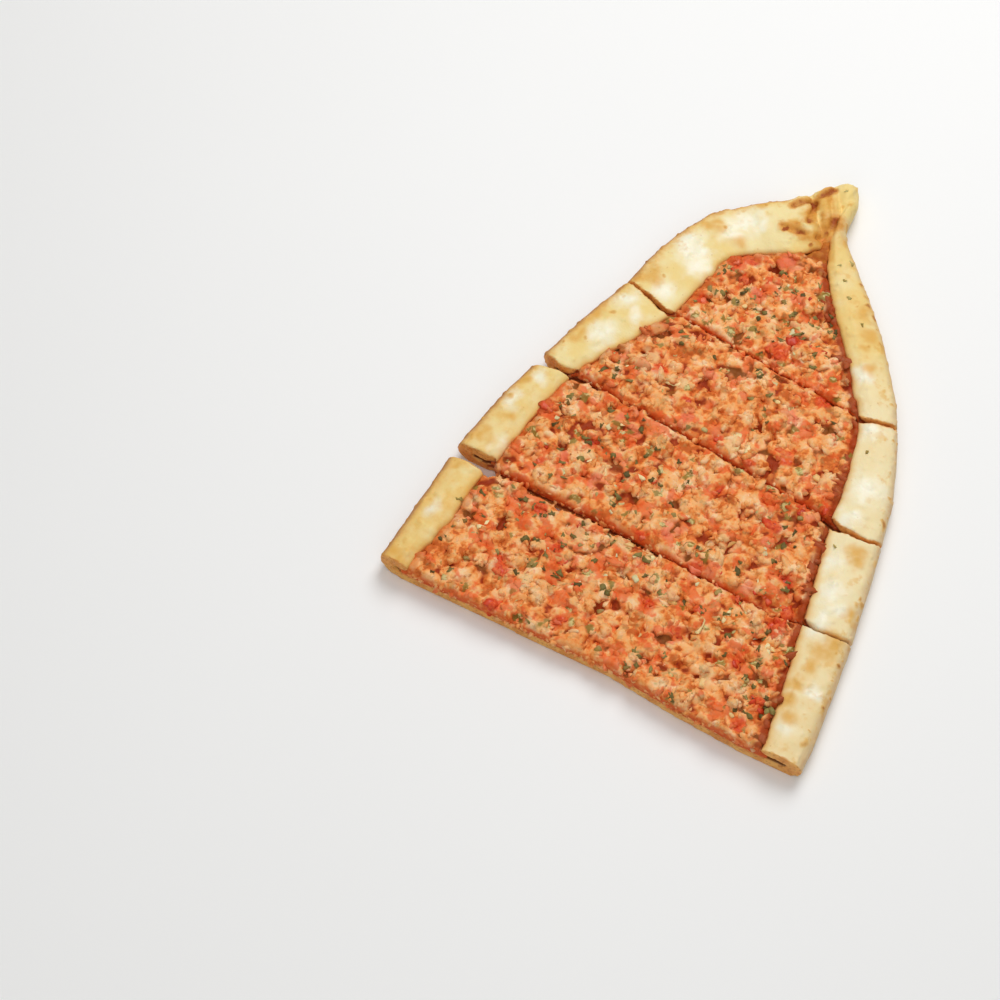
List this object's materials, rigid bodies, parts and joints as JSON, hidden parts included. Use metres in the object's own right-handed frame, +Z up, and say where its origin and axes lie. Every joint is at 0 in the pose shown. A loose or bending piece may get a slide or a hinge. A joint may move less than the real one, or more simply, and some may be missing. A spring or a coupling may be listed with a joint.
{
  "type": "turkish pide",
  "caption": "Half of a boat-shaped flatbread with a minced-meat topping, its edges folded in and pinched to a point, cut crosswise into slices.",
  "frame": {"origin": "middle of the underside, on the surface that the slices lie on", "axes": "+Y towards the pinched point, -Y towards the cut end, +X to the right when the point is ahead, +Z up"},
  "size_m": [0.144, 0.2062, 0.0103],
  "materials": {
    "crust": "baked bread crust, pale cream to golden with browned edges, slightly buttered",
    "mince": "baked minced meat with tomato, pepper, onion and parsley, moist"
  },
  "bodies": {
    "root": {"bread_point": "crust", "topping_point": "mince", "bread_second": "crust", "topping_second": "mince", "bread_third": "crust", "topping_third": "mince", "bread_end": "crust", "topping_end": "mince"}
  },
  "joints": []
}
